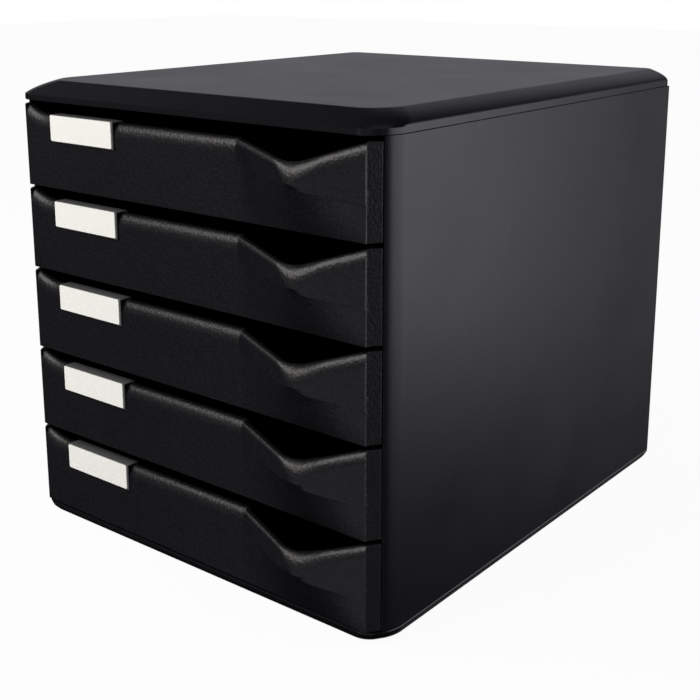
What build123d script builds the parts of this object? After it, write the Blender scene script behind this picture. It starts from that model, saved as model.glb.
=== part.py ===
"""Desktop drawer unit: a moulded casing with five slide-out trays for A4 paper.

Millimetres, +Z up, front facing -Y. The origin is the middle of the bounding box at its bottom,
so the beaks of the drawer fronts count in the depth.
"""
from math import cos, radians, sin, tan
import os

from build123d import *

os.makedirs("parts", exist_ok=True)

# Casing
casing_width = 285.0
casing_depth = 326.7
panel_wall = 3.0
corner_cut_x = 9.6
corner_cut_y = 13.6
rear_corner_radius = 2.5

# Base plate, hollow from below
base_height = 6.5
base_wall = 2.5
base_rim = 6.0
base_bevel_out = 3.0
base_bevel_up = 2.5

# Top cover, hollow from below, with a sloping shoulder on three sides
cover_lip_height = 3.6
cover_height = 11.4
cover_wall = 2.5
cover_front_inset = 14.8
cover_side_inset = 12.5
cover_back_inset = 2.3
cover_front_overhang = 1.0
cover_steps = 6

# Drawers, stacked at one pitch
drawer_count = 5
drawer_pitch = 52.86
drawer_lift = 0.7

# Drawer front
front_wall = 3.0
front_depth = 9.4
front_gap = 0.5
strip_width = 4.6
lip_height = 44.4
block_rise = 6.0
block_width = 0.9
lip_curve_width = 19.0
lip_depth = 6.5
lip_roll = 5.0

# Beak of the grip, seen from above a blunt triangle on the right of the front
beak_point_reach = 16.5
beak_width = 87.9
beak_nose_from_corner = 37.9
beak_apex_radius = 12.0
dip_from_corner = 39.7
dip_depth = 7.3
dip_radius = 25.0

# Belly under the beak, up to a crease that falls to the right
crease_height = 32.3
crease_slope = 8.55
belly_step = 1.0

# Tray behind the front
tray_wall = 2.0
tray_lift = 0.8
tray_height = 45.5
tray_rear_gap = 5.0
tray_corner_radius = 6.0

# Runners inside the side panels and the flanges that slide on them
runner_gap = 0.3
runner_side_gap = 0.5
runner_height = 2.5
runner_width = 5.5
runner_front_setback = 6.0
flange_thickness = 2.0

# Label card and the clip that holds it on the lip
card_width = 54.9
card_height = 15.5
card_thickness = 0.5
card_from_corner = 25.9
card_drop = 0.35
clip_wall = 0.8
clip_gap = 0.3
clip_hook = 3.0
clip_overrun = 3.0
clip_foot = 0.6
card_corner_radius = 1.0



half_width = casing_width / 2
corner_x = half_width - corner_cut_x
beak_left_x = corner_x - beak_width
beak_apex_x = corner_x - beak_nose_from_corner


def beak_corner(end_x, end_step):
    """Where the rounding of the beak starts and ends in plan, from the face, and how far its nose reaches."""
    apex = Vector(beak_apex_x, -beak_point_reach)
    to_left = (Vector(beak_left_x, 0) - apex).normalized()
    to_right = (Vector(end_x, -end_step) - apex).normalized()
    half_angle = radians(to_left.get_angle(to_right) / 2)
    setback = beak_apex_radius / tan(half_angle)
    centre = apex + (to_left + to_right).normalized() * (beak_apex_radius / sin(half_angle))
    return apex + to_left * setback, apex + to_right * setback, beak_apex_radius - centre.Y


# Places worked out from the sizes above
beak_reach = beak_corner(corner_x, belly_step)[2]
total_depth = casing_depth + beak_reach
face_y = -total_depth / 2 + beak_reach
back_y = total_depth / 2
bay_bottom = base_height + drawer_lift
cover_bottom = bay_bottom + drawer_count * drawer_pitch
cover_top = cover_bottom + cover_height
block_height = lip_height + block_rise
block_inner_x = corner_x - block_width
lip_left_x = block_inner_x - lip_curve_width
dip_x = corner_x - dip_from_corner
dip_height = lip_height - dip_depth
card_left_x = card_from_corner - corner_x
corner_y = face_y + corner_cut_y
strip_x = half_width - strip_width
strip_y = corner_y - strip_width * corner_cut_y / corner_cut_x
front_end_x = strip_x - front_gap
front_end_y = face_y + (front_end_x - corner_x) * corner_cut_y / corner_cut_x
inner_x = half_width - panel_wall
runner_x = inner_x - runner_width
tray_x = runner_x - runner_side_gap
flange_x = front_end_x - runner_side_gap
front_back_y = face_y + front_depth
tray_back_y = back_y - panel_wall - tray_rear_gap
tray_floor_z = tray_lift + tray_wall
flange_z = tray_height - flange_thickness
runner_z = flange_z - runner_gap - runner_height


def footprint(side, front, back):
    """Plan of the casing with its cut front corners, drawn in from each edge by the given amounts."""
    x = half_width - side
    y = face_y + front
    rear = back_y - back
    return [
        (-x, rear),
        (-x, y + corner_cut_y),
        (-x + corner_cut_x, y),
        (x - corner_cut_x, y),
        (x, y + corner_cut_y),
        (x, rear),
    ]


def export(piece, name):
    piece.label = name
    export_step(piece, f"parts/{name}.step")


# Base plate
with BuildPart() as base_plate:
    with BuildSketch():
        Polygon(*footprint(0, 0, 0), align=None)
    extrude(amount=base_height)
    underside = base_plate.faces().sort_by(Axis.Z)[0]
    chamfer(underside.edges(), length=base_bevel_up, length2=base_bevel_out, reference=underside)
    with BuildSketch():
        Polygon(*footprint(base_rim, base_rim, base_rim), align=None)
    extrude(amount=base_height - base_wall, mode=Mode.SUBTRACT)
export(base_plate.part, "base_plate")



def cover_form(wall, foot_z):
    """The cover's outer form, or with a wall the hollow inside it: upright at the lip, then the shoulder.

    The shoulder is straight in front and at the back, and on the sides a parabola that starts upright.
    """
    low = cover_bottom + cover_lip_height - wall
    high = cover_top - wall
    with BuildPart() as form:
        with BuildSketch(Plane.XY.offset(foot_z)):
            Polygon(*footprint(wall, wall - cover_front_overhang, wall), align=None)
        extrude(amount=low - foot_z)
        for step in range(cover_steps + 1):
            share = step / cover_steps
            side = wall + cover_side_inset * share**2
            front = wall - cover_front_overhang + (cover_front_inset + cover_front_overhang) * share
            back = wall + cover_back_inset * share
            with BuildSketch(Plane.XY.offset(low + (high - low) * share)):
                Polygon(*footprint(side, front, back), align=None)
        loft(ruled=True)
    return form.part


# Top cover
cover_outside = cover_form(0, cover_bottom)
cover_hollow = cover_form(cover_wall, cover_bottom - cover_wall)
with BuildPart() as top_cover:
    add(cover_outside)
    add(cover_hollow, mode=Mode.SUBTRACT)
export(top_cover.part, "top_cover")


def side_panel(side):
    """One side of the casing, with the strip beside the drawer fronts and a runner for each drawer."""
    with BuildPart() as panel:
        with BuildSketch(Plane.XY.offset(base_height)):
            Polygon(
                (half_width, corner_y),
                (strip_x, strip_y),
                (strip_x, corner_y),
                (inner_x, corner_y + strip_width - panel_wall),
                (inner_x, back_y),
                (half_width, back_y),
                align=None,
            )
        extrude(amount=cover_bottom - base_height)
        rear_edge = panel.edges().filter_by(Axis.Z).sort_by(Axis.Y)[-2:].sort_by(Axis.X)[-1]
        fillet(rear_edge, rear_corner_radius)
        runner_length = tray_back_y - front_back_y - runner_front_setback
        runner_middle = (front_back_y + runner_front_setback + tray_back_y) / 2
        for number in range(drawer_count):
            runner_bottom = bay_bottom + number * drawer_pitch + runner_z
            with BuildSketch(Plane.XY.offset(runner_bottom)):
                with Locations(((runner_x + inner_x) / 2, runner_middle)):
                    Rectangle(runner_width, runner_length)
            extrude(amount=runner_height)
        if side < 0:
            mirror(about=Plane.YZ, mode=Mode.REPLACE)
    return panel.part


export(side_panel(-1), "left_side_panel")
export(side_panel(1), "right_side_panel")

# Rear panel, between the side panels
with BuildPart() as rear_panel:
    with BuildSketch(Plane.XY.offset(base_height)):
        with Locations((0, back_y - panel_wall / 2)):
            Rectangle(2 * inner_x, panel_wall)
    extrude(amount=cover_bottom - base_height)
export(rear_panel.part, "rear_panel")


def beak_outline(plane, back, end_step, stretch=1.0, flat=False):
    """Plan of the beak on a plane, moved back from the face; a flat one is the straight foot of the belly."""
    end_x = corner_x - back
    round_start, round_end, _ = beak_corner(end_x, end_step)
    face = face_y + back

    def at(x, y):
        return ((x - beak_left_x) * stretch, face + y)

    if flat:
        share = (round_end.X - beak_left_x) / (end_x - beak_left_x)
        round_start = Vector(round_start.X, 0)
        round_end = Vector(round_end.X, -end_step * share)
    start = at(beak_left_x, 0)
    arc_start = at(round_start.X, round_start.Y)
    arc_end = at(round_end.X, round_end.Y)
    end = at(end_x, -end_step)
    rear = front_back_y + back
    with BuildSketch(plane) as outline:
        with BuildLine():
            Line(start, arc_start)
            if flat:
                Line(arc_start, arc_end)
            else:
                TangentArc(arc_start, arc_end, tangent=(arc_start[0] - start[0], arc_start[1] - start[1]))
            Line(arc_end, end)
            Polyline(end, (end[0], rear), (start[0], rear), start)
        make_face()
    return outline.sketch


def front_form(back, drop, start_z):
    """The drawer front as a block under its top edge, moved back from the face and lowered.

    The block is the slab of the front with the beak on it and the belly ramp below its crease.
    """
    slope = radians(crease_slope)
    crease_plane = Plane(
        origin=(beak_left_x, 0, crease_height), x_dir=(cos(slope), 0, -sin(slope)), z_dir=(sin(slope), 0, cos(slope))
    )
    foot_plane = Plane(origin=(beak_left_x, 0, 0))
    foot = beak_outline(foot_plane, back, belly_step, flat=True)
    crease = beak_outline(crease_plane, back, belly_step, stretch=1 / cos(slope))
    upper = beak_outline(crease_plane, back, 0, stretch=1 / cos(slope))
    side_x = tray_x - tray_wall if back else front_end_x
    with BuildPart() as form:
        with BuildSketch(Plane.XY.offset(start_z)):
            if back:
                with Locations((0, (face_y + back + front_back_y + back) / 2)):
                    Rectangle(2 * side_x, front_depth)
            else:
                Polygon(
                    (-front_end_x, front_back_y),
                    (-front_end_x, front_end_y),
                    (-corner_x, face_y),
                    (corner_x, face_y),
                    (front_end_x, front_end_y),
                    (front_end_x, front_back_y),
                    align=None,
                )
        extrude(amount=2 * block_height)
        loft([foot.faces()[0], crease.faces()[0]], ruled=True)
        extrude(upper.faces()[0], amount=2 * block_height, dir=(0, 0, 1))
        with BuildSketch(Plane.XZ) as profile:
            with BuildLine():
                Line((-lip_left_x, lip_height - drop), (beak_left_x, lip_height - drop))
                Line((beak_left_x, lip_height - drop), (dip_x, dip_height - drop))
                Line((dip_x, dip_height - drop), (corner_x, block_height - drop))
                Line((corner_x, block_height - drop), (half_width, block_height - drop))
                Line((half_width, block_height - drop), (half_width, -block_height))
                Line((half_width, -block_height), (-half_width, -block_height))
                Line((-half_width, -block_height), (-half_width, block_height - drop))
                Line((-half_width, block_height - drop), (-block_inner_x, block_height - drop))
                TangentArc(
                    (-lip_left_x, lip_height - drop), (-block_inner_x, block_height - drop), tangent=(-1, 0)
                )
            make_face()
            fillet(profile.vertices().filter_by_position(Axis.X, dip_x - 1, dip_x + 1), dip_radius)
        extrude(amount=casing_depth, both=True, mode=Mode.INTERSECT)
    return form.part


outer_form = front_form(0, 0, 0)
pocket_form = front_form(front_wall, front_wall, tray_floor_z)
mouth_form = front_form(lip_depth, -block_height, dip_height - 2 * front_wall)


def lip_edges(part):
    """The front edges along the top of the front, from the left block to the stile on the right."""
    seen = {}
    for face in part.faces().filter_by(lambda f: f.normal_at().Z > 0.5 and f.center().Z > dip_height):
        for edge in face.edges():
            middle = edge.center()
            if middle.Y < face_y + 0.1 and -block_inner_x < middle.X < corner_x:
                seen.setdefault((round(middle.X, 2), round(middle.Y, 2)), []).append(edge)
    return ShapeList(edges[0] for edges in seen.values() if len(edges) == 1)


# One drawer at height 0: the front with its rolled lip, and the tray behind it with its side flanges
with BuildPart() as drawer_shape:
    add(outer_form)
    fillet(lip_edges(drawer_shape), lip_roll)
    add(pocket_form, mode=Mode.SUBTRACT)
    add(mouth_form, mode=Mode.SUBTRACT)
    tray_front_y = face_y + lip_depth
    with BuildSketch(Plane.XY.offset(tray_lift)) as tray_plan:
        with Locations((0, (tray_front_y + tray_back_y) / 2)):
            Rectangle(2 * tray_x, tray_back_y - tray_front_y)
        fillet(tray_plan.vertices().group_by(Axis.Y)[-1], tray_corner_radius)
    with BuildSketch(Plane.XY.offset(tray_lift)) as floor_plan:
        with Locations((0, (face_y + front_wall / 2 + tray_front_y + tray_wall) / 2)):
            Rectangle(2 * tray_x, tray_front_y + tray_wall - face_y - front_wall / 2)
    extrude(tray_plan.sketch, amount=tray_wall)
    extrude(floor_plan.sketch, amount=tray_wall)
    with BuildSketch(Plane.XY.offset(tray_lift)) as wall_plan:
        add(tray_plan.sketch)
        offset(amount=-tray_wall, mode=Mode.SUBTRACT)
        with Locations((0, tray_front_y)):
            Rectangle(2 * (tray_x - tray_wall), 2 * front_depth, mode=Mode.SUBTRACT)
    extrude(wall_plan.sketch, amount=tray_height - tray_lift)
    with BuildSketch(Plane.XY.offset(flange_z)):
        with Locations(
            ((tray_x + flange_x) / 2, (front_back_y + tray_back_y - tray_corner_radius) / 2),
            (-(tray_x + flange_x) / 2, (front_back_y + tray_back_y - tray_corner_radius) / 2),
        ):
            Rectangle(flange_x - tray_x, tray_back_y - tray_corner_radius - front_back_y)
    extrude(amount=flange_thickness)
print("drawer", drawer_shape.part.is_valid, len(drawer_shape.part.solids()), round(drawer_shape.part.volume))

# Clip that hangs the card on the lip: a back plate, a strip over the lip and a hook behind it
clip_top = lip_height + clip_gap + clip_wall
clip_face_y = face_y - clip_gap - clip_wall
clip_back_y = face_y + lip_depth + clip_gap
card_bottom = clip_top - card_drop - card_height
with BuildPart() as clip_shape:
    with BuildSketch(Plane.YZ.offset(card_left_x)):
        Polygon(
            (clip_face_y, card_bottom - clip_foot),
            (clip_face_y, clip_top),
            (clip_back_y + clip_wall, clip_top),
            (clip_back_y + clip_wall, clip_top - clip_wall - clip_hook),
            (clip_back_y, clip_top - clip_wall - clip_hook),
            (clip_back_y, clip_top - clip_wall),
            (clip_face_y + clip_wall, clip_top - clip_wall),
            (clip_face_y + clip_wall, card_bottom - clip_foot),
            align=None,
        )
    extrude(amount=card_width + clip_overrun)
    fillet(clip_shape.edges().filter_by(Axis.X).sort_by(Axis.Z)[-2:], clip_wall / 2)
print("clip", clip_shape.part.is_valid, clip_shape.part.bounding_box())

# Card in front of the clip's back plate
with BuildPart() as card_shape:
    with BuildSketch(Plane.XZ.offset(-clip_face_y)) as card_plan:
        with Locations((card_left_x + card_width / 2, card_bottom + card_height / 2)):
            RectangleRounded(card_width, card_height, card_corner_radius)
    extrude(amount=card_thickness)

for number in range(1, drawer_count + 1):
    height = bay_bottom + (drawer_count - number) * drawer_pitch
    for name, shape in (("drawer", drawer_shape), ("label_clip", clip_shape), ("label_card", card_shape)):
        with BuildPart() as placed:
            with Locations((0, 0, height)):
                add(shape.part)
        export(placed.part, f"{name}_{number}")
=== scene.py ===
# %% [markdown]
# # A desktop drawer unit in black moulded plastic
#
# The unit is a casing with five shallow trays for A4 paper. Each front has a lowered lip, a blunt beak
# on the right to pull it by, and a small white card on a clip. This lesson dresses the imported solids:
# every piece is modelled again as a mesh with the soft edges that moulded plastic has, in the same
# place and of the same size, and gets a procedural material.

import math

import bmesh
import bpy
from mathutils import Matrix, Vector
from mathutils.geometry import interpolate_bezier


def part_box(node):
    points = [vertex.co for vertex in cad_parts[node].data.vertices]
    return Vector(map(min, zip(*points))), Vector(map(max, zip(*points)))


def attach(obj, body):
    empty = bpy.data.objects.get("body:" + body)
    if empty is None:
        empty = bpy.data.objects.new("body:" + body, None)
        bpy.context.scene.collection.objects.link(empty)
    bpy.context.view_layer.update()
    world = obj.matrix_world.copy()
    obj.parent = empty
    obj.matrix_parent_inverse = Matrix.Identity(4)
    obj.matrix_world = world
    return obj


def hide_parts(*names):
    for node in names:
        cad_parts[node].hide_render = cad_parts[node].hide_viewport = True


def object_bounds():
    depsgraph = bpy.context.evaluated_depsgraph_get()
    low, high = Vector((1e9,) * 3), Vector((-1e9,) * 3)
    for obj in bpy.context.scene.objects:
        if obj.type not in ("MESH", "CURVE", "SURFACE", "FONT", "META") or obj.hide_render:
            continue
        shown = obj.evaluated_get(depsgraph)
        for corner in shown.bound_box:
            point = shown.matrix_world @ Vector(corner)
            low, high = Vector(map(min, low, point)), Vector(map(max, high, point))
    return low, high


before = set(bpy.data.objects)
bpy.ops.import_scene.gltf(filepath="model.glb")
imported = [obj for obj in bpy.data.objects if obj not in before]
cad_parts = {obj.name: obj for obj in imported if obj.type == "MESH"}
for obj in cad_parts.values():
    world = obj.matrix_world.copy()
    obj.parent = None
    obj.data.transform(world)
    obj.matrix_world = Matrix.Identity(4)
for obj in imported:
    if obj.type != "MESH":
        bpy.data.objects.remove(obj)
cad_low, cad_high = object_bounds()

# %% [markdown]
# ## Sizes of the casing
#
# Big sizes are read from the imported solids. Small ones, such as walls and roundings, are the real
# sizes of the mouldings in metres, each written once here.

# %% Casing sizes
mm = 0.001
same_place = 0.01 * mm
base_low, base_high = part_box("base_plate")
cover_low, cover_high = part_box("top_cover")
panel_low, panel_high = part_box("right_side_panel")
half_width = base_high.x
face_y = base_low.y
back_y = base_high.y
corner_cut_x = 9.6 * mm
corner_cut_y = 13.6 * mm
corner_x = half_width - corner_cut_x
corner_round = 6.0 * mm
rear_round = 2.5 * mm
curve_pull = 0.55
curve_points = 7
soft_edge = 0.5 * mm
fine_edge = 0.3 * mm
print("half width", round(half_width, 4), "face", round(face_y, 4), "back", round(back_y, 4))

# %% [markdown]
# ## Helpers for moulded pieces
#
# Injection moulding leaves no sharp edge, so the first helper rounds the edges that it is given. The
# bevel operator does it, with a few segments, because the light on a soft edge is what makes black
# plastic readable. A second helper finds the edges of a rim by their height.

# %% Soften edges


def soften(bm, edges, offset, segments=2):
    """Rounds edges; the offset is the distance that the rounding takes from each side."""
    bmesh.ops.bevel(
        bm, geom=list(edges), offset=offset, offset_type="OFFSET", affect="EDGES",
        segments=segments, profile=0.5, material=-1, clamp_overlap=True,
    )


def level_edges(bm, height):
    """The edges that lie flat at one height."""
    return [edge for edge in bm.edges if all(abs(corner.co.z - height) < same_place for corner in edge.verts)]


# %% [markdown]
# Panels, clips and cards are flat outlines pushed through space. The outline's corners are rounded with
# a vertex bevel while it is still flat, then it is extruded and both rims are softened. Runners and
# flanges are plain bars with rounded edges.

# %% Outline pushed through space


def moulding(corners, radii, push, edge, segments=5):
    """A solid from a flat outline with rounded corners, extruded by a vector; both rims are soft."""
    bm = bmesh.new()
    points = [bm.verts.new(corner) for corner in corners]
    bm.faces.new(points)
    for point, radius in zip(points, radii):
        bmesh.ops.bevel(
            bm, geom=[point], offset=radius, offset_type="OFFSET", affect="VERTICES",
            segments=segments, profile=0.5, material=-1,
        )
    near_rim = list(bm.edges)
    made = bmesh.ops.extrude_face_region(bm, geom=list(bm.faces))["geom"]
    far_corners = [item for item in made if isinstance(item, bmesh.types.BMVert)]
    far_rim = [item for item in made if isinstance(item, bmesh.types.BMEdge)]
    bmesh.ops.translate(bm, verts=far_corners, vec=push)
    soften(bm, near_rim + far_rim, edge)
    return bm


def bar(low, high, edge):
    """A box between two corners with all its edges rounded."""
    bm = bmesh.new()
    bmesh.ops.create_cube(bm, size=1.0)
    bmesh.ops.scale(bm, vec=Vector(high) - Vector(low), verts=bm.verts)
    bmesh.ops.translate(bm, vec=(Vector(high) + Vector(low)) / 2, verts=bm.verts)
    soften(bm, bm.edges, edge)
    return bm


# %% [markdown]
# Casing and fronts change their outline on the way, so they are grown step by step: the last face is
# extruded and its corners go to where the next cross-section is. The face takes its edges along,
# because the operator would otherwise leave the old face inside the solid.

# %% Grow a solid section by section


def extruded(bm, face):
    """Extrudes a face with its edges, so that no face stays behind inside the solid."""
    made = bmesh.ops.extrude_face_region(bm, geom=[face, *face.edges, *face.verts])["geom"]
    return next(item for item in made if isinstance(item, bmesh.types.BMFace))


def grow(bm, face, places):
    """Extrudes a face and moves its corners, in their order, to the places of the next section."""
    next_face = extruded(bm, face)
    for corner, place in zip(next_face.verts, places):
        corner.co = place
    return next_face


def grown(sections):
    """A solid through all the sections, closed by its first and last one."""
    bm = bmesh.new()
    face = bm.faces.new([bm.verts.new(place) for place in sections[0]])
    for places in sections[1:]:
        face = grow(bm, face, places)
    return bm


# %% [markdown]
# A piece of several parts, such as a drawer with its flanges, is joined in one bmesh, and each part
# keeps the number of its finish. The object gets smooth shading with sharp edges above an angle, and
# weighted normals keep its flat faces flat.

# %% From bmesh to object


def add(bm, part, finish=0):
    """Adds a part's mesh to another, with the number of its finish, and frees it."""
    for face in part.faces:
        face.material_index = finish
    mesh = bpy.data.meshes.new("part")
    part.to_mesh(mesh)
    part.free()
    bm.from_mesh(mesh)
    bpy.data.meshes.remove(mesh)


def piece(name, bm, sharp_degrees=24):
    """An object of a bmesh: normals outwards, smooth shading, sharp edges above an angle."""
    bmesh.ops.recalc_face_normals(bm, faces=bm.faces)
    limit = math.radians(sharp_degrees)
    for face in bm.faces:
        face.smooth = True
    for edge in bm.edges:
        edge.smooth = len(edge.link_faces) == 2 and edge.calc_face_angle() < limit
    open_edges = sum(len(edge.link_faces) != 2 for edge in bm.edges)
    mesh = bpy.data.meshes.new(name)
    bm.to_mesh(mesh)
    bm.free()
    made = bpy.data.objects.new(name, mesh)
    bpy.context.scene.collection.objects.link(made)
    weighted = made.modifiers.new("flat faces stay flat", "WEIGHTED_NORMAL")
    weighted.keep_sharp = True
    print(name, "has", len(mesh.polygons), "faces and", open_edges, "open edges")
    return made


# %% [markdown]
# ## Camera
#
# The photograph shows the unit from its right front corner and a little above. Its upright edges stay
# upright, which a real camera does with a shifted lens. The shift here is smaller, because every other
# view keeps it too, and the camera looks down a little instead.

# %% Camera
lens_length = 61.05
look_down = 13.166
turn_left = 38.462
camera_data = bpy.data.cameras.new("camera")
camera_data.sensor_width = 36.0
camera_data.lens = lens_length
camera_data.shift_y = -0.15
camera = bpy.data.objects.new("camera", camera_data)
camera.location = (0.47773, -0.60279, 0.35029)
camera.rotation_euler = (math.radians(90 - look_down), 0, math.radians(turn_left))
bpy.context.scene.collection.objects.link(camera)
bpy.context.scene.camera = camera
print("camera at", [round(v, 3) for v in camera.location])

# %% [markdown]
# ## The plan of the casing
#
# Base and cover share one plan: a rectangle with two cut front corners, all well rounded. Each level
# of a piece is this plan drawn in by its own amount at the sides, in front and at the back. The
# corners are short curves here and not bevels, because a bevel along edges that bend from level to
# level gets lumps.

# %% Casing plan


def casing_plan(z, side, front, back):
    """The casing's plan at a height, drawn in by three amounts, with rounded corners."""
    x = half_width - side
    y = face_y + front
    rear = back_y - back
    corners = [
        Vector((-x, rear, z)), Vector((-x, y + corner_cut_y, z)), Vector((-x + corner_cut_x, y, z)),
        Vector((x - corner_cut_x, y, z)), Vector((x, y + corner_cut_y, z)), Vector((x, rear, z)),
    ]
    places = []
    for i, corner in enumerate(corners):
        setback = rear_round if corner.y == rear else corner_round
        before = corner + (corners[i - 1] - corner).normalized() * setback
        after = corner + (corners[(i + 1) % len(corners)] - corner).normalized() * setback
        handles = before.lerp(corner, curve_pull), after.lerp(corner, curve_pull)
        places += interpolate_bezier(before, *handles, after, curve_points)
    return places


def hollow(bm, z, rim, steps):
    """Insets the face that looks down at height z, then pushes it up in steps of height and scale."""
    level = [face for face in bm.faces if abs(face.calc_center_median().z - z) < same_place]
    lid = max(level, key=lambda face: face.calc_area())
    bmesh.ops.inset_region(bm, faces=[lid], thickness=rim, use_even_offset=True)
    for rise, scale_x, scale_y in steps:
        lid = extruded(bm, lid)
        bmesh.ops.translate(bm, verts=lid.verts, vec=(0, 0, rise))
        bmesh.ops.scale(bm, verts=lid.verts, vec=(scale_x, scale_y, 1))


# %% [markdown]
# ## Base
#
# The base is a shallow tray turned over. Its foot has a slanted bevel, its upright leans in a little
# towards the foot, and its rounded rim shows as a ridge under the drawers and panels.

# %% Base
base_rim = 3.0 * mm
base_wall = 2.5 * mm
base_bevel_out = 3.0 * mm
base_bevel_up = 2.5 * mm
base_draft = 0.8 * mm
ridge = 1.4 * mm
base_softness = {
    base_low.z: 0.4 * mm,
    base_low.z + base_bevel_up: 0.5 * mm,
    base_high.z: 0.7 * mm,
}
base_mesh = grown([
    casing_plan(base_low.z, base_bevel_out, base_bevel_out, base_bevel_out),
    casing_plan(base_low.z + base_bevel_up, base_draft, base_draft, base_draft),
    casing_plan(base_high.z - ridge, 0, 0, 0),
    casing_plan(base_high.z, 0, 0, 0),
])
for height, amount in base_softness.items():
    soften(base_mesh, level_edges(base_mesh, height), amount)
bmesh.ops.recalc_face_normals(base_mesh, faces=base_mesh.faces)
hollow(base_mesh, base_low.z, base_rim, [(base_high.z - base_low.z - base_wall, 1, 1)])
base = piece("base", base_mesh)

# %% [markdown]
# ## Side panels and rear
#
# The side panels stand on the base. Each ends in front in a narrow strip beside the drawer fronts,
# behind the well-rounded front corner, and carries a runner for every drawer. The left panel is the
# right one mirrored. The rear panel is a plain plate between them.

# %% Side panels
panel_wall = 3.0 * mm
panel_rear_round = 2.2 * mm
strip_width = 4.6 * mm
front_depth = 9.4 * mm
runner_top = 41.2 * mm
runner_height = 2.5 * mm
runner_setback = 6.0 * mm
drawer_names = sorted(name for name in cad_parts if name.startswith("drawer_"))
drawer_bottom = {name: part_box(name)[0].z for name in drawer_names}
tray_back_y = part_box("drawer_1")[1].y


def side_panel():
    """The right side panel with its front strip and its five runners."""
    slant_y = face_y + corner_cut_y * (1 - strip_width / corner_cut_x)
    inner = half_width - panel_wall
    bend_y = face_y + corner_cut_y + strip_width - panel_wall
    corners = [
        (half_width, face_y + corner_cut_y), (half_width - strip_width, slant_y),
        (half_width - strip_width, face_y + corner_cut_y), (inner, bend_y),
        (inner, back_y), (half_width, back_y),
    ]
    radii = [corner_round, soft_edge, soft_edge, soft_edge, soft_edge, panel_rear_round]
    height = panel_high.z - panel_low.z
    bm = moulding([(x, y, panel_low.z) for x, y in corners], radii, (0, 0, height), fine_edge)
    for bottom in drawer_bottom.values():
        low = (panel_low.x, face_y + front_depth + runner_setback, bottom + runner_top - runner_height)
        high = (inner + soft_edge, tray_back_y, bottom + runner_top)
        add(bm, bar(low, high, fine_edge))
    return bm


side_right = piece("side_right", side_panel())
mirrored = side_panel()
bmesh.ops.scale(mirrored, vec=(-1, 1, 1), verts=mirrored.verts)
side_left = piece("side_left", mirrored)
rear = piece("rear", bar(*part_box("rear_panel"), fine_edge))

# %% [markdown]
# ## Cover
#
# The cover is a lid with an upright lip. In front its shoulder is a flat slope that meets the top and
# the lip in soft creases; at the sides it starts upright and bends over to the top, which a square law
# of the height gives; at the back it is nearly upright. It is hollow from below.

# %% Cover
cover_lip = 3.6 * mm
cover_wall = 2.5 * mm
cover_overhang = 1.0 * mm
cover_front_inset = 14.8 * mm
cover_side_inset = 12.5 * mm
cover_back_inset = 2.3 * mm
cover_top_round = 1.6 * mm
cover_hollow_taper = (0.9, 0.93)
cover_sharp_degrees = 15
shoulder_steps = 12
clearance = 0.02 * mm
shoulder_rise = cover_high.z - cover_low.z - cover_lip


def shoulder_level(share):
    """The plan at a share of the shoulder's height."""
    front = (cover_front_inset + cover_overhang) * share - cover_overhang
    z = cover_low.z + cover_lip + shoulder_rise * share
    return casing_plan(z, cover_side_inset * share**2, front, clearance + cover_back_inset * share)


cover_mesh = grown(
    [casing_plan(cover_low.z, 0, -cover_overhang, clearance)]
    + [shoulder_level(step / shoulder_steps) for step in range(shoulder_steps + 1)]
)
soften(cover_mesh, level_edges(cover_mesh, cover_high.z), cover_top_round, 4)
soften(cover_mesh, level_edges(cover_mesh, cover_low.z), soft_edge)
bmesh.ops.recalc_face_normals(cover_mesh, faces=cover_mesh.faces)
cover_hollow = [(cover_lip, 1, 1), (shoulder_rise - cover_wall, *cover_hollow_taper)]
hollow(cover_mesh, cover_low.z, cover_wall, cover_hollow)
cover = piece("cover", cover_mesh, cover_sharp_degrees)

# %% [markdown]
# ## Shape of a drawer front
#
# A front is a wall 3 mm thick whose top edge rolls back over the tray. It is grown from cross-sections,
# from left to right. Each section knows how far the front stands out there, how high its top edge is,
# and where the belly under the beak ends in a crease. Above the crease the beak leans out a little, and
# at its nose the roll reaches nearly down to the crease.

# %% Front sizes
front_wall = 3.0 * mm
front_end_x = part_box("drawer_1")[1].x
lip_height = 44.4 * mm
lip_depth = 6.5 * mm
roll_depth = 5.9 * mm
roll_height = 8.0 * mm
flank_roll_share = 0.38
flank_roll_end_x = 82.0 * mm
nose_roll_x = 97.0 * mm
nose_roll_width = 15.0 * mm
nose_roll_extra = 0.45
block_height = 50.4 * mm
block_inner_x = corner_x - 0.9 * mm
lip_left_x = block_inner_x - 19.0 * mm
beak_left_x = corner_x - 87.9 * mm
beak_apex_x = corner_x - 37.9 * mm
beak_point_reach = 16.5 * mm
nose_radius = 12.0 * mm
belly_radius = 36.0 * mm
belly_share = 0.86
belly_step = 1.0 * mm
ledge = 0.6 * mm
ledge_run_in = 12.0 * mm
belly_run_in = 18.0 * mm
end_step = 1.2 * mm
nose_share = 0.955
dip_x = corner_x - 39.7 * mm
dip_height = 37.1 * mm
dip_radius = 25.0 * mm
crease_height = 32.3 * mm
crease_fall = math.tan(math.radians(8.55))

# %% [markdown]
# Seen from above, the beak is a blunt triangle with a round nose. Seen from the front, the top edge
# comes down from the left block in a hollow curve, runs level, dips at the beak and climbs to the right
# block. Both are plain functions of the place along the front.

# %% Plan and top edge of the front


def eased(share):
    """A share kept between 0 and 1 that starts and ends softly."""
    share = min(1.0, max(0.0, share))
    return share * share * (3 - 2 * share)


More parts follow.
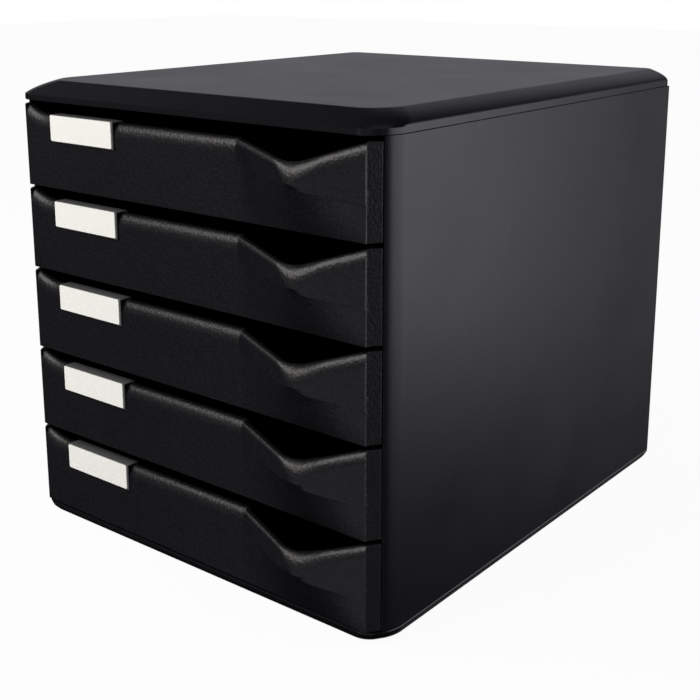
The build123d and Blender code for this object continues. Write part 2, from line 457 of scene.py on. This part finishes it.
def reach(x, radius):
    """How far the beak stands out at x, with its nose rounded by a radius."""
    if not beak_left_x < x < corner_x:
        return 0.0
    apex = Vector((beak_apex_x, beak_point_reach))
    to_left = (Vector((beak_left_x, 0)) - apex).normalized()
    to_right = (Vector((corner_x, 0)) - apex).normalized()
    half = to_left.angle(to_right) / 2
    centre = apex + (to_left + to_right).normalized() * (radius / math.sin(half))
    start = apex + to_left * (radius / math.tan(half))
    end = apex + to_right * (radius / math.tan(half))
    if x < start.x:
        return start.y * (x - beak_left_x) / (start.x - beak_left_x)
    if x > end.x:
        return end.y * (corner_x - x) / (corner_x - end.x)
    return centre.y + math.sqrt(radius**2 - (x - centre.x) ** 2)


def top_edge(x):
    """Height of the top edge: the left block, its hollow curve, the lip, the dip and the right block."""
    if x < -block_inner_x or x > corner_x:
        return block_height
    if x < -lip_left_x:
        run = lip_left_x - block_inner_x
        rise = block_height - lip_height
        radius = (run**2 + rise**2) / (2 * rise)
        return lip_height + radius - math.sqrt(radius**2 - (x + lip_left_x) ** 2)
    if x < beak_left_x:
        return lip_height
    left_slope = (dip_height - lip_height) / (dip_x - beak_left_x)
    right_slope = (block_height - dip_height) / (corner_x - dip_x)
    left_angle, right_angle = math.atan(left_slope), math.atan(right_slope)
    setback = dip_radius * math.tan((right_angle - left_angle) / 2)
    start = dip_x - setback * math.cos(left_angle)
    if x < start:
        return lip_height + left_slope * (x - beak_left_x)
    if x > dip_x + setback * math.cos(right_angle):
        return block_height + right_slope * (x - corner_x)
    centre_x = start - dip_radius * math.sin(left_angle)
    centre_z = lip_height + left_slope * (start - beak_left_x) + dip_radius * math.cos(left_angle)
    return centre_z - math.sqrt(dip_radius**2 - (x - centre_x) ** 2)


def roll_share(x):
    """How much of the full roll the top edge has: little on the beak's left flank, more on its nose."""
    into_flank = min(1.0, max(0.0, (x - beak_left_x) / mm))
    out_of_it = eased((x - flank_roll_end_x) / (nose_roll_x - flank_roll_end_x))
    on_nose = max(0.0, 1 - ((x - nose_roll_x) / nose_roll_width) ** 2) ** 2
    return 1 - (1 - flank_roll_share) * into_flank * (1 - out_of_it) + nose_roll_extra * on_nose


print("lowest top edge", round(min(top_edge(x * mm) for x in range(45, 133)) / mm, 2), "mm")

# %% [markdown]
# One cross-section goes up the outside from the foot to the crease, leans out to where the roll starts,
# rolls over to the back and comes down the inside. In the blocks at both ends it is solid and reaches
# back to the tray's walls.

# %% One cross-section
roll_steps = 10
belly_rows = 6
block_roll = 1.0 * mm
roll_limit = 0.8
plain_crease = 0.6 * lip_height
crease_half = 0.15 * mm
lean_shares = (0.35, 0.7)
inner_bend = 0.4
bend_side = 0.3 * soft_edge
bend_top = 0.2 * soft_edge


def front_section(x, beak=True, block=False):
    """The closed cross-section at x: up the outside, over the lip and down the inside."""
    chamfer = max(0.0, abs(x) - corner_x) * corner_cut_y / corner_cut_x
    top = top_edge(x)
    along = x - beak_left_x
    run = along / (corner_x - beak_left_x)
    rear = wall = front_depth
    face = foot = belly = chamfer
    under = 0.0
    crease = plain_crease
    if beak and 0 <= run <= 1:
        face = chamfer - nose_share * reach(x, nose_radius) - end_step * run**3
        foot = -belly_step * run
        under = min(1.0, along / ledge_run_in) * ledge
        crease = crease_height - crease_fall * along
        bulge = eased(along / belly_run_in) * belly_share * reach(x, belly_radius) + belly_step * run
        belly = -min(bulge, chamfer - face - under)
    if not block:
        wall = face + front_wall
        rear = wall + (lip_depth - front_wall) * min(1.0, roll_share(x))
    rolled = -block_inner_x < x < corner_x
    high = roll_height * roll_share(x) if rolled else block_roll
    deep = roll_depth * roll_share(x) if rolled else block_roll
    upright = top - min(high, roll_limit * (top - crease))
    lean = face - belly + under
    shape = [(foot + 2 * soft_edge, 0.0), (foot + soft_edge, 0.0), (foot + bend_side, bend_side)]
    shape += [(foot, soft_edge)]
    for row in range(1, belly_rows):
        shape.append((foot + (belly - foot) * row / belly_rows, crease * row / belly_rows))
    shape += [(belly, crease - crease_half), (belly - under, crease + crease_half)]
    shape += [(belly - under + lean * share, crease + (upright - crease) * share) for share in lean_shares]
    for step in range(roll_steps + 1):
        angle = math.pi / 2 * step / roll_steps
        shape.append((face + deep * (1 - math.cos(angle)), upright + (top - upright) * math.sin(angle)))
    under_lip = top - front_wall
    shape += [(rear - bend_side, top - bend_top), (rear, top - soft_edge)]
    shape += [(rear, under_lip + soft_edge), (rear - soft_edge, under_lip)]
    shape += [(wall + bend_side, under_lip), (wall, under_lip - soft_edge)]
    crease_wall = wall if block else wall + belly - face
    foot_wall = wall if block else wall + foot - face
    bend_wall = foot_wall + (crease_wall - foot_wall) * inner_bend
    shape += [(crease_wall, crease), (bend_wall, crease * inner_bend), (foot_wall, 0.0)]
    return [(x, face_y + y, z) for y, z in shape]


# %% [markdown]
# The sections lie close together where the front bends: at the hollow curve by the left block, at the
# start of the beak, round its nose and dip, and at the corners. Two sections almost in one place make
# the sharp step at the right end of the belly.

# %% Stations of the sections
tray_x = 133.5 * mm
tray_wall = 2.0 * mm
flank_mid_x = 74.0 * mm
nose_end_x = 116.0 * mm
hair = 0.05 * mm


def stations(start, end, count):
    """Even stations from start on; the end belongs to the next stretch."""
    return [start + (end - start) * i / count for i in range(count)]


def front_sections():
    """All the cross-sections of a front, from its left end to its right one."""
    inner = tray_x - tray_wall
    before_beak, in_beak = beak_left_x - 0.4 * mm, beak_left_x + 0.3 * mm
    left = [-front_end_x, -front_end_x + soft_edge, -corner_x - soft_edge, -corner_x + soft_edge]
    rows = [front_section(x, block=True) for x in left + [-block_inner_x, -inner - hair]]
    xs = stations(-inner, -lip_left_x, 14) + stations(-lip_left_x, before_beak, 20)
    xs += [before_beak, in_beak] + stations(beak_left_x + 1 * mm, flank_mid_x, 12)
    xs += stations(flank_mid_x, nose_end_x, 48) + stations(nose_end_x, inner, 10)
    rows += [front_section(x) for x in xs]
    rows += [front_section(x, block=True) for x in (inner + hair, corner_x - hair)]
    right = [corner_x + hair, corner_x + 2 * soft_edge, front_end_x - soft_edge, front_end_x]
    return rows + [front_section(x, beak=False, block=True) for x in right]


# %% [markdown]
# ## Tray
#
# Behind the front lies the tray that holds the paper. It starts as a box, whose rear corners are
# rounded; its top face is inset and pushed down to leave walls and a floor, and the inner floor edge is
# rounded, so that paper slides out easily. Its front end is cut off low, so that it stays hidden inside
# the front. A flange along each side hangs on the casing's runners.

# %% Tray
tray_lift = 0.8 * mm
tray_height = 45.5 * mm
tray_corner = 6.0 * mm
floor_round = 3.0 * mm
flange_x = 136.9 * mm
flange_thickness = 2.0 * mm
tray_front_y = face_y + 1.0 * mm
tray_cut_y = face_y + front_wall + 1.0 * mm
tray_front_height = 20.0 * mm
tray_foot_round = 0.6 * mm
tray_rim_round = 0.4 * mm
overlap = 0.5 * mm
drawer_sharp_degrees = 28


def tray_tub():
    """The tray without its front."""
    bm = bmesh.new()
    bmesh.ops.create_cube(bm, size=1.0)
    depth = tray_back_y - tray_front_y
    bmesh.ops.scale(bm, vec=(2 * tray_x, depth, tray_height - tray_lift), verts=bm.verts)
    centre = (0, (tray_back_y + tray_front_y) / 2, (tray_height + tray_lift) / 2)
    bmesh.ops.translate(bm, vec=centre, verts=bm.verts)
    rear_corners = [
        edge for edge in bm.edges
        if all(abs(corner.co.y - tray_back_y) < same_place for corner in edge.verts)
        and abs(edge.verts[0].co.z - edge.verts[1].co.z) > 1 * mm
    ]
    soften(bm, rear_corners, tray_corner, 6)
    top = max(bm.faces, key=lambda face: face.calc_center_median().z)
    bmesh.ops.inset_region(bm, faces=[top], thickness=tray_wall, use_even_offset=True)
    floor = extruded(bm, top)
    bmesh.ops.translate(bm, verts=floor.verts, vec=(0, 0, tray_lift + tray_wall - tray_height))
    soften(bm, level_edges(bm, tray_lift + tray_wall), floor_round, 4)
    soften(bm, level_edges(bm, tray_lift), tray_foot_round)
    soften(bm, level_edges(bm, tray_height), tray_rim_round)
    whole = [*bm.verts, *bm.edges, *bm.faces]
    bmesh.ops.bisect_plane(bm, geom=whole, plane_co=(0, tray_cut_y, 0), plane_no=(0, 1, 0), dist=1e-7)
    for corner in bm.verts:
        if corner.co.y < tray_cut_y - same_place:
            corner.co.z = min(corner.co.z, tray_front_height)
    return bm


def drawer_mesh():
    """One drawer standing on z = 0; the five drawers are copies of it at their own heights."""
    bm = grown(front_sections())
    add(bm, tray_tub(), 1)
    for side in (-1, 1):
        low_x, high_x = sorted((side * (tray_x - overlap), side * flange_x))
        low = (low_x, face_y + front_depth - overlap, tray_height - flange_thickness)
        high = (high_x, tray_back_y - tray_corner, tray_height)
        add(bm, bar(low, high, fine_edge), 1)
    return bm


def drawer(name):
    """The drawer of a node, at its height."""
    bm = drawer_mesh()
    bmesh.ops.translate(bm, verts=bm.verts, vec=(0, 0, drawer_bottom[name]))
    return piece(name.replace("drawer", "tray"), bm, drawer_sharp_degrees)


drawers = {name: drawer(name) for name in drawer_names}

# %% [markdown]
# ## Clips and cards
#
# The clip is a folded strip of grey plastic: a plate in front of the lip, a bridge over it and a short
# hook behind. The card is stiff white paper with rounded corners that lies on the plate.

# %% Clips and cards
clip_wall = 0.8 * mm
clip_hook = 3.0 * mm
clip_left_overrun = 0.6 * mm
clip_right_overrun = 1.0 * mm
clip_radii = [0.2 * mm, 0.5 * mm, 0.7 * mm, 0.3 * mm, 0.3 * mm, 0.3 * mm, 0.2 * mm, 0.2 * mm]
clip_edge = 0.12 * mm
card_round = 1.0 * mm
card_edge = 0.08 * mm


def clip(number):
    """The folded strip, as its profile pushed from left to right."""
    low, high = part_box(f"label_clip_{number}")
    card_low, card_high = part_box(f"label_card_{number}")
    left = max(low.x, card_low.x - clip_left_overrun)
    right = min(high.x, card_high.x + clip_right_overrun)
    bridge_z = high.z - clip_wall
    hook_z = bridge_z - clip_hook
    plate_y, hook_y = low.y + clip_wall, high.y - clip_wall
    corners = [
        (low.y, low.z), (low.y, high.z), (high.y, high.z), (high.y, hook_z),
        (hook_y, hook_z), (hook_y, bridge_z), (plate_y, bridge_z), (plate_y, low.z),
    ]
    bm = moulding([(left, y, z) for y, z in corners], clip_radii, (right - left, 0, 0), clip_edge, 4)
    return piece(f"clip_{number}", bm)


def card(number):
    """The paper card with its rounded corners."""
    low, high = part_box(f"label_card_{number}")
    corners = [(low.x, low.z), (high.x, low.z), (high.x, high.z), (low.x, high.z)]
    outline = [(x, low.y, z) for x, z in corners]
    return piece(f"card_{number}", moulding(outline, [card_round] * 4, (0, high.y - low.y, 0), card_edge))


numbers = [int(name.split("_")[1]) for name in drawer_names]
clips = {number: clip(number) for number in numbers}
cards = {number: card(number) for number in numbers}

# %% [markdown]
# ## Grain of the plastic
#
# The moulds are etched, so the plastic has a grain: fine on the casing, and on the drawers a leather
# grain nearly two millimetres across that breaks the light on the lips into specks. One node group
# makes every grain from a size, a depth and a roughness. It reads Object coordinates, so that the
# grain keeps its size on every piece.

# %% Grain group


def grain_group():
    """The moulded grain: out come a bumped normal, a roughness and a height, by which the plastics paint
    shade into the grain's hollows.
    """
    group = bpy.data.node_groups.new("moulded grain", "ShaderNodeTree")
    for name in ("Size", "Depth", "Roughness"):
        group.interface.new_socket(name, in_out="INPUT", socket_type="NodeSocketFloat")
    group.interface.new_socket("Normal", in_out="OUTPUT", socket_type="NodeSocketVector")
    group.interface.new_socket("Roughness", in_out="OUTPUT", socket_type="NodeSocketFloat")
    group.interface.new_socket("Height", in_out="OUTPUT", socket_type="NodeSocketFloat")
    nodes, links = group.nodes, group.links
    inlet = nodes.new("NodeGroupInput")
    outlet = nodes.new("NodeGroupOutput")
    place = nodes.new("ShaderNodeTexCoord")
    scale = nodes.new("ShaderNodeMath")
    scale.operation = "DIVIDE"
    scale.inputs[0].default_value = 1.0
    links.new(inlet.outputs["Size"], scale.inputs[1])
    pebbles = nodes.new("ShaderNodeTexVoronoi")
    pebbles.feature = "SMOOTH_F1"
    pebbles.inputs["Smoothness"].default_value = 0.5
    fine = nodes.new("ShaderNodeTexNoise")
    fine.inputs["Detail"].default_value = 2.0
    for texture in (pebbles, fine):
        links.new(place.outputs["Object"], texture.inputs["Vector"])
        links.new(scale.outputs[0], texture.inputs["Scale"])
    mix = nodes.new("ShaderNodeMix")
    mix.inputs[0].default_value = 0.5
    links.new(pebbles.outputs["Distance"], mix.inputs[2])
    links.new(fine.outputs["Fac"], mix.inputs[3])
    bump = nodes.new("ShaderNodeBump")
    bump.inputs["Strength"].default_value = 1.0
    links.new(mix.outputs[0], bump.inputs["Height"])
    links.new(inlet.outputs["Depth"], bump.inputs["Distance"])
    cloud = nodes.new("ShaderNodeTexNoise")
    cloud.inputs["Scale"].default_value = 14.0
    links.new(place.outputs["Object"], cloud.inputs["Vector"])
    spread = nodes.new("ShaderNodeMapRange")
    spread.inputs["From Min"].default_value = 0.3
    spread.inputs["From Max"].default_value = 0.7
    spread.inputs["To Min"].default_value = -0.02
    spread.inputs["To Max"].default_value = 0.02
    links.new(cloud.outputs["Fac"], spread.inputs["Value"])
    rough = nodes.new("ShaderNodeMath")
    rough.operation = "ADD"
    links.new(inlet.outputs["Roughness"], rough.inputs[0])
    links.new(spread.outputs["Result"], rough.inputs[1])
    links.new(bump.outputs["Normal"], outlet.inputs["Normal"])
    links.new(rough.outputs[0], outlet.inputs["Roughness"])
    links.new(mix.outputs[0], outlet.inputs["Height"])
    return group


grain = grain_group()
print("grain group sockets:", [item.name for item in grain.interface.items_tree])

# %% [markdown]
# ## Plastics and card
#
# The plastic is a deep black with a hint of violet. Its colour goes between two near blacks with its grain,
# darker in the grain's hollows and lighter on its ridges: a painted shade of the grain.
# The casing is almost satin, the fronts have a coarser and rougher grain that spreads the light on their
# lips, and the insides of the trays are smooth and dull. The clips are a mid grey.

# %% Plastic


def plastic(name, dark, light, size, depth, roughness, spread=(0.25, 0.75), specular=0.5):
    """Moulded plastic of two close tones that follow its grain between the two heights of spread: the dark
    tone in the hollows is painted shade, the light one sits on the ridges.
    """
    material = bpy.data.materials.new(name)
    material.use_nodes = True
    nodes, links = material.node_tree.nodes, material.node_tree.links
    shader = nodes["Principled BSDF"]
    surface = nodes.new("ShaderNodeGroup")
    surface.node_tree = grain
    shader.inputs["Specular IOR Level"].default_value = specular
    surface.inputs["Size"].default_value = size
    surface.inputs["Depth"].default_value = depth
    surface.inputs["Roughness"].default_value = roughness
    links.new(surface.outputs["Normal"], shader.inputs["Normal"])
    links.new(surface.outputs["Roughness"], shader.inputs["Roughness"])
    # painted shade: the grain's low places get the dark tone, as if in shade, and its high places the light
    # one
    tone = nodes.new("ShaderNodeValToRGB")
    tone.color_ramp.elements[0].position, tone.color_ramp.elements[1].position = spread
    tone.color_ramp.elements[0].color = (*dark, 1)
    tone.color_ramp.elements[1].color = (*light, 1)
    links.new(surface.outputs["Height"], tone.inputs["Fac"])
    links.new(tone.outputs["Color"], shader.inputs["Base Color"])
    return material


# the casing's two tones: the darker one is painted shade in the grain's hollows
casing_hollow_shade = (0.0018, 0.0016, 0.0030)
casing_ridge_tone = (0.0040, 0.0037, 0.0060)
casing_plastic = plastic(
    "casing plastic", casing_hollow_shade, casing_ridge_tone, size=1.0 * mm, depth=0.035 * mm, roughness=0.28
)
# the drawers' tones lie further apart, so that the painted shade in the grain's hollows shows the pebbles
drawer_plastic = plastic(
    "drawer plastic", (0.0008, 0.0007, 0.0018), (0.0050, 0.0047, 0.0070),
    size=1.6 * mm, depth=0.27 * mm, roughness=0.41, spread=(0.30, 0.58),
)
tray_plastic = plastic(
    "tray plastic", (0.0015, 0.0015, 0.0022), (0.0035, 0.0035, 0.0048),
    size=0.8 * mm, depth=0.02 * mm, roughness=0.3, specular=0.35,
)
clip_plastic = plastic(
    "clip plastic", (0.085, 0.085, 0.088), (0.115, 0.115, 0.12),
    size=0.6 * mm, depth=0.01 * mm, roughness=0.35,
)
print("casing from", casing_hollow_shade, "to", casing_ridge_tone)

# %% [markdown]
# The cards are stiff uncoated paper in a slightly warm white, with a trace of fibres.

# %% Card paper


def card_paper():
    """Uncoated white card with a faint texture of fibres."""
    material = bpy.data.materials.new("white card")
    material.use_nodes = True
    nodes, links = material.node_tree.nodes, material.node_tree.links
    shader = nodes["Principled BSDF"]
    shader.inputs["Roughness"].default_value = 0.85
    shader.inputs["Specular IOR Level"].default_value = 0.2
    place = nodes.new("ShaderNodeTexCoord")
    fibre = nodes.new("ShaderNodeTexNoise")
    fibre.inputs["Scale"].default_value = 900.0
    fibre.inputs["Detail"].default_value = 4.0
    links.new(place.outputs["Object"], fibre.inputs["Vector"])
    tone = nodes.new("ShaderNodeValToRGB")
    tone.color_ramp.elements[0].color = (0.86, 0.86, 0.83, 1)
    tone.color_ramp.elements[1].color = (0.92, 0.92, 0.89, 1)
    links.new(fibre.outputs["Fac"], tone.inputs["Fac"])
    links.new(tone.outputs["Color"], shader.inputs["Base Color"])
    bump = nodes.new("ShaderNodeBump")
    bump.inputs["Strength"].default_value = 0.4
    bump.inputs["Distance"].default_value = 0.03 * mm
    links.new(fibre.outputs["Fac"], bump.inputs["Height"])
    links.new(bump.outputs["Normal"], shader.inputs["Normal"])
    return material


white_card = card_paper()
print("materials:", [material.name for material in bpy.data.materials])

# %% [markdown]
# ## What stands for what
#
# Each mesh stands for its solid, and moves with the same body. A drawer's body carries the drawer, its
# clip and its card.

# %% Ride and replace


def dress(made, materials, body, slot, *nodes):
    """Gives a piece its materials, ties it to its body and hides the nodes that it stands for; the slot is
    not used.
    """
    for material in materials:
        made.data.materials.append(material)
    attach(made, body)
    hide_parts(*nodes)


dress(base, [casing_plastic], "casing", "casing_plastic", "base_plate")
dress(side_left, [casing_plastic], "casing", "casing_plastic", "left_side_panel")
dress(side_right, [casing_plastic], "casing", "casing_plastic", "right_side_panel")
dress(rear, [casing_plastic], "casing", "casing_plastic", "rear_panel")
dress(cover, [casing_plastic], "casing", "casing_plastic", "top_cover")
for number in numbers:
    body = f"drawer_body_{number}"
    node = f"drawer_{number}"
    dress(drawers[node], [drawer_plastic, tray_plastic], body, "drawer_plastic", node)
    dress(clips[number], [clip_plastic], body, "clip_plastic", f"label_clip_{number}")
    dress(cards[number], [white_card], body, "card_paper", f"label_card_{number}")

# %% [markdown]
# ## Floor
#
# The floor is a plain pale plane. The camera sees it as white with a trace of the unit's shadow: its
# glow is for camera rays alone. From below it is clear, so that it doesn't hide the underside.

# %% Floor
floor_size = 6.0
floor_glow = 0.95


def make_floor():
    """The pale plane under the unit."""
    material = bpy.data.materials.new("pale floor")
    material.use_nodes = True
    nodes, links = material.node_tree.nodes, material.node_tree.links
    shader = nodes["Principled BSDF"]
    shader.inputs["Base Color"].default_value = (0.8, 0.8, 0.8, 1)
    shader.inputs["Roughness"].default_value = 0.9
    glow = nodes.new("ShaderNodeEmission")
    path = nodes.new("ShaderNodeLightPath")
    share = nodes.new("ShaderNodeMath")
    share.operation = "MULTIPLY"
    share.inputs[1].default_value = floor_glow
    links.new(path.outputs["Is Camera Ray"], share.inputs[0])
    mix = nodes.new("ShaderNodeMixShader")
    links.new(share.outputs[0], mix.inputs["Fac"])
    links.new(shader.outputs[0], mix.inputs[1])
    links.new(glow.outputs[0], mix.inputs[2])
    below = nodes.new("ShaderNodeNewGeometry")
    clear = nodes.new("ShaderNodeBsdfTransparent")
    sided = nodes.new("ShaderNodeMixShader")
    links.new(below.outputs["Backfacing"], sided.inputs["Fac"])
    links.new(mix.outputs[0], sided.inputs[1])
    links.new(clear.outputs[0], sided.inputs[2])
    links.new(sided.outputs[0], nodes["Material Output"].inputs["Surface"])
    bm = bmesh.new()
    bmesh.ops.create_grid(bm, x_segments=4, y_segments=4, size=floor_size)
    bmesh.ops.translate(bm, verts=bm.verts, vec=(0, 0, cad_low.z))
    mesh = bpy.data.meshes.new("floor")
    bm.to_mesh(mesh)
    bm.free()
    floor = bpy.data.objects.new("floor", mesh)
    bpy.context.scene.collection.objects.link(floor)
    mesh.materials.append(material)
    floor.visible_glossy = False


make_floor()

# %% [markdown]
# ## Studio
#
# Black plastic shows little but its surroundings, so the studio matters more than the lamp. The camera
# sees white. Reflections see a dark room with soft patches of light, each between ramps in the sky of
# directions: right is X, back is Y and up is Z.

# %% Small node helpers


def ramp(tree, value, start, end):
    """0 where value is before start, 1 past end, and smooth between; end may be the lower one."""
    node = tree.nodes.new("ShaderNodeMapRange")
    node.interpolation_type = "SMOOTHSTEP"
    low_first = start < end
    node.inputs["From Min"].default_value = min(start, end)
    node.inputs["From Max"].default_value = max(start, end)
    node.inputs["To Min"].default_value = 0.0 if low_first else 1.0
    node.inputs["To Max"].default_value = 1.0 if low_first else 0.0
    tree.links.new(value, node.inputs["Value"])
    return node.outputs["Result"]


def combine(tree, operation, *values):
    """Adds or multiplies sockets and numbers."""
    result = values[0]
    for value in values[1:]:
        node = tree.nodes.new("ShaderNodeMath")
        node.operation = operation
        tree.links.new(result, node.inputs[0])
        if isinstance(value, float):
            node.inputs[1].default_value = value
        else:
            tree.links.new(value, node.inputs[1])
        result = node.outputs[0]
    return result


def patch(tree, strength, *limits):
    """A soft patch of light; each limit is a coordinate of the direction and the ends of its ramp."""
    return combine(tree, "MULTIPLY", *[ramp(tree, *limit) for limit in limits], strength)


# %% [markdown]
# The lit floor and wall on the right make the side's gradient, and the pale wall behind makes the top's.
# Fainter patches in front shape the fronts, the bellies under the beaks and the base. Diffuse rays see
# one even level, which lights the cards.

# %% World
darkest = 0.005
diffuse_level = 0.52
studio_tint = (0.92, 0.90, 1.0, 1)


def make_world():
    """White for the camera, the patches for reflections and an even level for diffuse light."""
    world = bpy.data.worlds.new("studio")
    bpy.context.scene.world = world
    world.use_nodes = True
    tree = world.node_tree
    tree.nodes.clear()
    place = tree.nodes.new("ShaderNodeTexCoord")
    split = tree.nodes.new("ShaderNodeSeparateXYZ")
    tree.links.new(place.outputs["Generated"], split.inputs[0])
    right, back, up = split.outputs["X"], split.outputs["Y"], split.outputs["Z"]
    patches = [
        # bright on the right, for the right side
        patch(tree, 1.8, (right, 0.45, 0.54), (back, -0.2, 0.1), (up, -0.40, -0.24), (up, 0.60, 0.15)),
        # pale wall behind, for the top
        patch(tree, 0.31, (back, 0.15, 0.55), (right, 0.45, -0.1), (up, -0.08, 0.08), (up, 0.70, 0.30)),
        # low in front, for the bellies by the nose and for their right ends
        patch(tree, 0.7, (back, -0.05, -0.6), (right, -0.45, -0.15), (up, -0.52, -0.62), (up, -0.82, -0.62)),
        patch(tree, 0.7, (back, -0.5, -0.8), (right, -0.45, -0.10), (up, -0.52, -0.38), (up, -0.24, -0.33)),
        # low on the left, for the lower fronts and the base
        patch(tree, 0.07, (right, -0.76, -0.86), (up, -0.27, -0.36), (up, -0.80, -0.50)),
        patch(
            tree, 0.15, (back, -0.25, -0.42), (right, -0.50, -0.62),
            (up, -0.50, -0.57), (up, -0.74, -0.66),
        ),
        # an upright strip in front, for the round corners beside the fronts
        patch(
            tree, 0.4, (right, -0.47, -0.38), (right, -0.18, -0.30), (back, -0.45, -0.60),
            (up, -0.80, -0.62), (up, 0.40, 0.20),
        ),
        # low behind, for the foot of the right side
        patch(tree, 0.12, (back, 0.3, 0.6), (right, 0.36, 0.22), (up, -0.10, -0.30)),
        # far left and overhead, which only other views mirror
        patch(tree, 0.35, (right, -0.85, -0.97), (up, -0.05, 0.12)),
        patch(tree, 0.30, (up, 0.88, 0.97)),
        # the dim room in front
        patch(tree, 0.12, (back, -0.35, -0.65), (up, -0.40, -0.15)),
    ]
    path = tree.nodes.new("ShaderNodeLightPath")
    studio = tree.nodes.new("ShaderNodeBackground")
    studio.inputs["Color"].default_value = studio_tint
    tree.links.new(combine(tree, "ADD", *patches, darkest), studio.inputs["Strength"])
    soft = tree.nodes.new("ShaderNodeBackground")
    soft.inputs["Color"].default_value = (1, 1, 1, 1)
    soft.inputs["Strength"].default_value = diffuse_level
    white = tree.nodes.new("ShaderNodeBackground")
    white.inputs["Color"].default_value = (1, 1, 1, 1)
    by_gloss = tree.nodes.new("ShaderNodeMixShader")
    by_camera = tree.nodes.new("ShaderNodeMixShader")
    output = tree.nodes.new("ShaderNodeOutputWorld")
    tree.links.new(path.outputs["Is Glossy Ray"], by_gloss.inputs["Fac"])
    tree.links.new(soft.outputs[0], by_gloss.inputs[1])
    tree.links.new(studio.outputs[0], by_gloss.inputs[2])
    seen = combine(tree, "ADD", path.outputs["Is Camera Ray"], path.outputs["Is Transmission Ray"])
    tree.links.new(seen, by_camera.inputs["Fac"])
    tree.links.new(by_gloss.outputs[0], by_camera.inputs[1])
    tree.links.new(white.outputs[0], by_camera.inputs[2])
    tree.links.new(by_camera.outputs[0], output.inputs["Surface"])
    print("patches of light in the studio:", len(patches))


make_world()

# %% [markdown]
# One lamp does the rest: a softbox above the front and to its left. It lights the cards, its image
# runs along the rolled lips, and it is steep enough to leave the gaps over the fronts dark.

# %% Key lamp
lamp_tint = (1.0, 0.965, 0.91)


def softbox(name, place, aim, width, depth, power):
    """A rectangular area lamp that points at a place."""
    data = bpy.data.lights.new(name, "AREA")
    data.shape = "RECTANGLE"
    data.size = width
    data.size_y = depth
    data.energy = power
    data.color = lamp_tint
    lamp = bpy.data.objects.new(name, data)
    lamp.location = place
    lamp.rotation_euler = (Vector(aim) - Vector(place)).to_track_quat("-Z", "Y").to_euler()
    bpy.context.scene.collection.objects.link(lamp)


softbox(
    "key softbox", place=(-0.48, -0.90, 1.14), aim=(0, -0.15, 0.10), width=1.0, depth=0.7, power=11.5
)

# %% [markdown]
# ## Finish
#
# The sizes of the imported solids are printed, and the view transform stays plain.

# %% Finish
bpy.context.scene.view_settings.view_transform = "Standard"
print("cad", [round(v, 4) for v in (*cad_low, *cad_high)])
